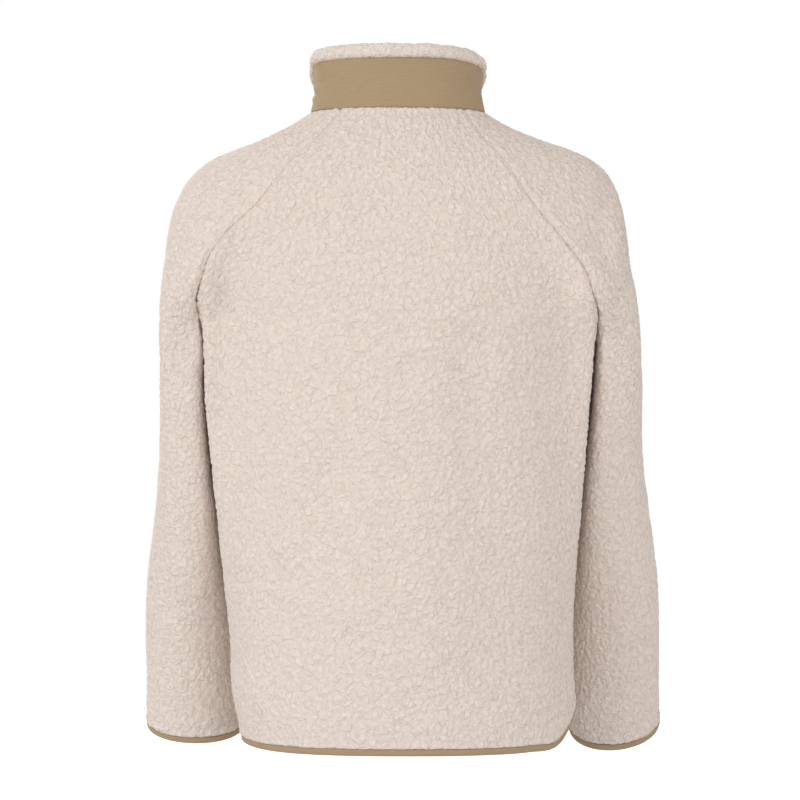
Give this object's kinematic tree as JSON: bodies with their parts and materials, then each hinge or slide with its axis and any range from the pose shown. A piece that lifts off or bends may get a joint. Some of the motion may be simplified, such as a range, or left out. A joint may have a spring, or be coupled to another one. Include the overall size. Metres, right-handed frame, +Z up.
{
  "type": "fleece jacket",
  "caption": "Hip-length pile fleece jacket with raglan sleeves, a woven stand collar with a fleece roll over its top, bound edges and a front zip, in its worn shape.",
  "frame": {"origin": "middle of the neckline, at the height of the neck seam at the back and sides, where the wearer's neck and shoulders hold the jacket", "axes": "+Z up, -Y towards the front with the zip, +X towards the wearer's left"},
  "size_m": [0.529, 0.2637, 0.7076],
  "materials": {
    "fleece": "deep looped pile, matte",
    "woven_trim": "plain weave, matte",
    "zip_tape": "woven tape, matte",
    "zip_coil": "moulded coil, satin",
    "zip_metal": "dull metal"
  },
  "bodies": {
    "jacket": {"back_panel": "fleece", "front_left": "fleece", "front_right": "fleece", "sleeve_left": "fleece", "sleeve_right": "fleece", "collar_lining": "fleece", "collar_band": "woven_trim", "hem_binding": "woven_trim", "cuff_binding_left": "woven_trim", "cuff_binding_right": "woven_trim", "zip_tape_left": "zip_tape", "zip_tape_right": "zip_tape", "zip_chain": "zip_coil", "zip_slider": "zip_metal"},
    "pull": {"zip_pull": "zip_metal"}
  },
  "joints": [
    {"name": "pull_swing", "type": "hinge", "parent": "jacket", "child": "pull", "pos_m": [0, -0.0725, -0.013], "axis": [-1, 0, 0], "range_deg": [0, 135]}
  ]
}
